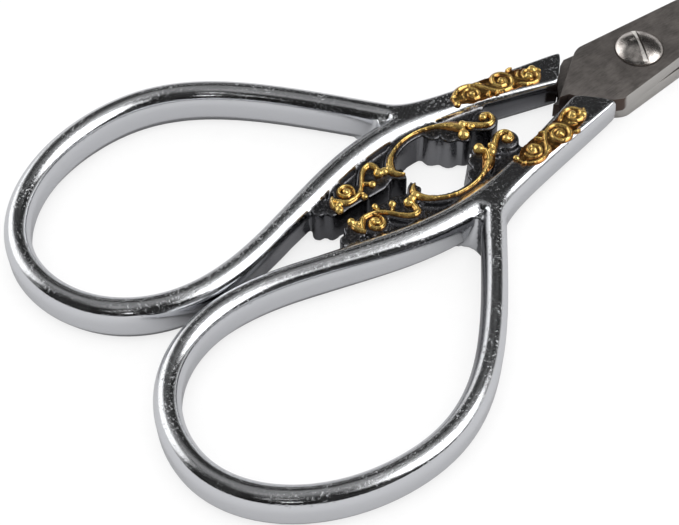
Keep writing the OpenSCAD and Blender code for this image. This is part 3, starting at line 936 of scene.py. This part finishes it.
def world_light():
    """White to the camera, even light for the floor, and in reflections a dark studio with pale screens."""
    world = bpy.context.scene.world or bpy.data.worlds.new("studio")
    bpy.context.scene.world = world
    world.use_nodes = True
    f = Finish(world.node_tree)
    way = f.node("TexCoord", output="Generated")
    up = f.node("SeparateXYZ", output="Z", Vector=way)

    def along(line):
        """How far a reflection points along a direction."""
        values = {"Vector": way, "Vector_2": tuple(line)}
        return f.node("VectorMath", output="Value", operation="DOT_PRODUCT", **values)

    back, side = along(AWAY), along(ACROSS_FLOOR)
    screen = along((0.57 * Vector((0, 0, 1)) + 0.79 * ACROSS_FLOOR - 0.2 * AWAY).normalized())
    clutter = f.ramp(f.node("TexNoise", Vector=way, Scale=3.2, Detail=2.0), 0.40, 0.66, 0.4, 1.8)
    horizon = f.ramp(up, 0.02, 0.26, 0.7, 0.0) * f.ramp(back, -0.35, 0.25)
    ceiling = f.ramp(up, 0.79, 0.87, 0.0, 0.2)
    left = f.ramp(side, -0.34, -0.56) * f.ramp(back, -0.2, 0.1)
    left = left * f.ramp(up, 0.05, 0.2) * f.ramp(up, 0.60, 0.80, 1.0, 0.0)
    right = f.ramp(screen, 0.87, 0.93)
    # Level tops mirror this direction, which holds no spot lamps
    from_tops = along(0.619 * AWAY + Vector((0, 0, 0.785)))
    cells = f.node("TexVoronoi", Vector=way, Scale=3.4)
    spots = f.ramp(cells, 0.26, 0.12) * f.ramp(up, 0.1, 0.4) * f.ramp(from_tops, 0.98, 0.90)
    room = (0.026 + ceiling) * clutter + horizon + left * 1.4 + right * 2.2 + spots * 1.9
    mirrored = f.node("LightPath", output="Is Glossy Ray")
    glow = room * mirrored + 1.0 - mirrored
    f.node("OutputWorld", Surface=f.node("Background", Color=f.shaded(glow, (1.0, 1.0, 1.0))))


def floor_finish():
    """Pale paper, nearly white to the camera with a light shadow, and greyer in reflections."""
    made, f = material("pale floor")
    tones = settings()[1]
    fleck = f.noise(f.place(), 0.6, 3.0)
    shade = 0.985 + fleck * 0.03
    seen = f.shaded(shade, tones.floor)
    tint = f.blend(f.node("LightPath", output="Is Glossy Ray"), seen, tuple(tones.floor_mirrored))
    paper = f.node("BsdfPrincipled", Base_Color=tint, Roughness=1.0, Specular_IOR_Level=0.0)
    white = f.node("Emission", Color=seen)
    bright = f.node("LightPath", output="Is Camera Ray") * 0.75
    f.out(f.node("MixShader", Fac=bright, Shader=paper, Shader_2=white))
    return made


def softbox(name, place, aim, size, power):
    """A soft lamp that faces a place."""
    data = bpy.data.lights.new(name, "AREA")
    data.shape = "RECTANGLE"
    data.size, data.size_y = size
    data.energy = power
    lamp = bpy.data.objects.new(name, data)
    lamp.location = place
    lamp.rotation_euler = (Vector(aim) - Vector(place)).to_track_quat("-Z", "Y").to_euler()
    bpy.context.scene.collection.objects.link(lamp)
    lamp.visible_glossy = False


# The photographer's view: turn, height and roll in degrees, distance and shift in millimetres
AZIMUTH, ELEVATION, ROLL = 36.316, 51.739, 1.099
DISTANCE, ACROSS, UPWARD = 222.2656, -32.903, -22.996
LENS = 105.23
ACROSS_FLOOR = Vector((math.cos(math.radians(AZIMUTH)), -math.sin(math.radians(AZIMUTH)), 0))
AWAY = Vector((math.sin(math.radians(AZIMUTH)), math.cos(math.radians(AZIMUTH)), 0))


def aim_camera():
    """The camera at the photograph's angle."""
    tilt, roll = math.radians(ELEVATION), math.radians(ROLL)
    upright = math.sin(tilt) * AWAY + math.cos(tilt) * Vector((0, 0, 1))
    back = -math.cos(tilt) * AWAY + math.sin(tilt) * Vector((0, 0, 1))
    right = math.cos(roll) * ACROSS_FLOOR - math.sin(roll) * upright
    up = math.sin(roll) * ACROSS_FLOOR + math.cos(roll) * upright
    spot = PIVOT + Vector((0, 0, 2.6)) + right * ACROSS + up * UPWARD + back * DISTANCE
    data = bpy.data.cameras.new("camera")
    data.lens, data.sensor_width, data.sensor_fit = LENS, 36.0, "HORIZONTAL"
    data.clip_start, data.clip_end = 0.01, 10.0
    camera = bpy.data.objects.new("camera", data)
    turn = Matrix((right, up, back)).transposed().to_4x4()
    camera.matrix_world = Matrix.Translation(spot * MM) @ turn
    bpy.context.scene.collection.objects.link(camera)
    bpy.context.scene.camera = camera


class SCISSORS_OT_stage(bpy.types.Operator):
    """Builds the floor, the studio light and the camera."""

    bl_idname = "scissors.stage"
    bl_label = "Stage"

    def execute(self, context):
        bm = bmesh.new()
        bmesh.ops.create_grid(bm, x_segments=1, y_segments=1, size=1.5)
        bmesh.ops.translate(bm, vec=(0, 0, -0.00002), verts=bm.verts)
        mesh = bpy.data.meshes.new("floor")
        bm.to_mesh(mesh)
        bm.free()
        mesh.materials.append(floor_finish())
        floor = bpy.data.objects.new("floor", mesh)
        bpy.context.scene.collection.objects.link(floor)
        world_light()
        middle = Vector((-0.02, 0, 0))
        softbox("overhead", middle - AWAY * 0.10 + Vector((0, 0, 0.42)), middle, (0.46, 0.30), 0.6)
        aim_camera()
        context.scene.view_settings.view_transform = "Standard"
        return {"FINISHED"}


STEPS = (
    SCISSORS_OT_handles,
    SCISSORS_OT_scrolls,
    SCISSORS_OT_blades,
    SCISSORS_OT_screw,
    SCISSORS_OT_stage,
)


class SCISSORS_PT_panel(bpy.types.Panel):
    """Lists the building steps."""

    bl_idname = "SCISSORS_PT_panel"
    bl_label = "Embroidery scissors"
    bl_space_type = "VIEW_3D"
    bl_region_type = "UI"
    bl_category = "Scissors"

    def draw(self, context):
        for group in (context.scene.scissor_sizes, context.scene.scissor_colours):
            box = self.layout.box()
            for name in group.__annotations__:
                box.prop(group, name)
        for step in STEPS:
            self.layout.operator(step.bl_idname)


CLASSES = (ScissorSizes, ScissorColours, *STEPS, SCISSORS_PT_panel)


def register():
    for item in CLASSES:
        bpy.utils.register_class(item)
    bpy.types.Scene.scissor_sizes = PointerProperty(type=ScissorSizes)
    bpy.types.Scene.scissor_colours = PointerProperty(type=ScissorColours)


def unregister():
    del bpy.types.Scene.scissor_colours
    del bpy.types.Scene.scissor_sizes
    for item in reversed(CLASSES):
        bpy.utils.unregister_class(item)


def main():
    register()
    bpy.ops.scissors.handles()
    bpy.ops.scissors.scrolls()
    bpy.ops.scissors.blades()
    bpy.ops.scissors.screw()
    bpy.ops.scissors.stage()


if __name__ == "__main__":
    main()
